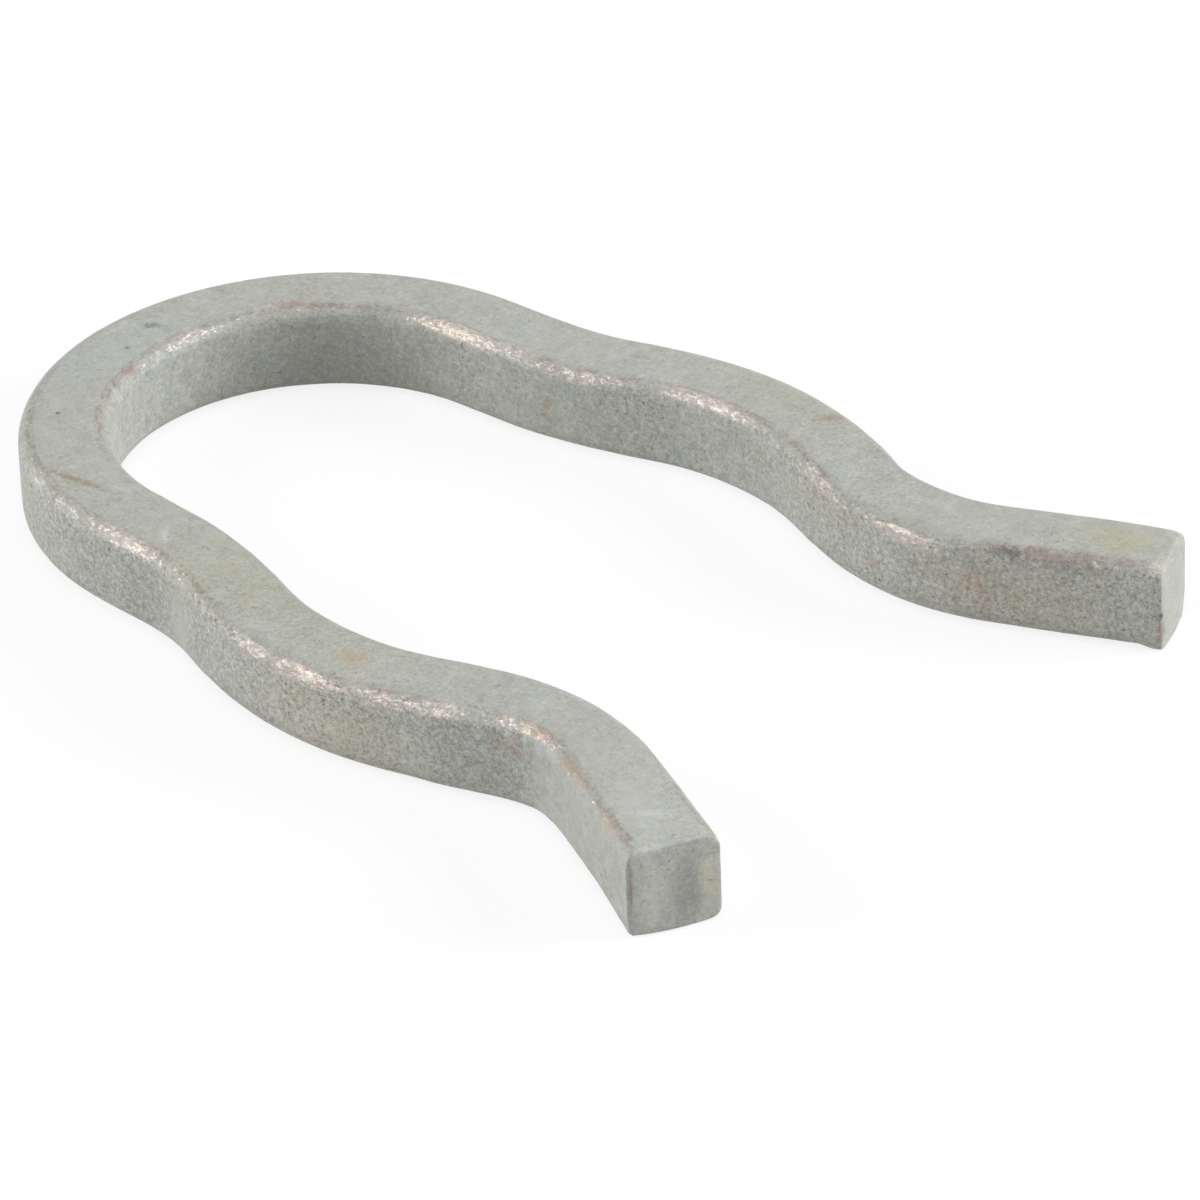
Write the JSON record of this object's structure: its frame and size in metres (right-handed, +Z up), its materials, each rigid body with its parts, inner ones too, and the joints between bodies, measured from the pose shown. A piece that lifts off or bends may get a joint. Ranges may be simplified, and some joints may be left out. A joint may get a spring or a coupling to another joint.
{
  "type": "retaining ring",
  "caption": "Horseshoe retaining ring bent from square steel bar, with pinched legs that grip a grooved shaft and tips that flare outward.",
  "frame": {"origin": "on the axis of the shaft that the two seats grip, in the plane of the lower face", "axes": "+Z up along the shaft's axis, +X from the bow towards the open end, +Y towards the left leg"},
  "size_m": [0.0586, 0.0402, 0.0048],
  "materials": {
    "plated_steel": "dull grey plating, mottled and pitted, worn bright and coppery along the edges"
  },
  "bodies": {
    "root": {"retaining_ring": "plated_steel"}
  },
  "joints": []
}
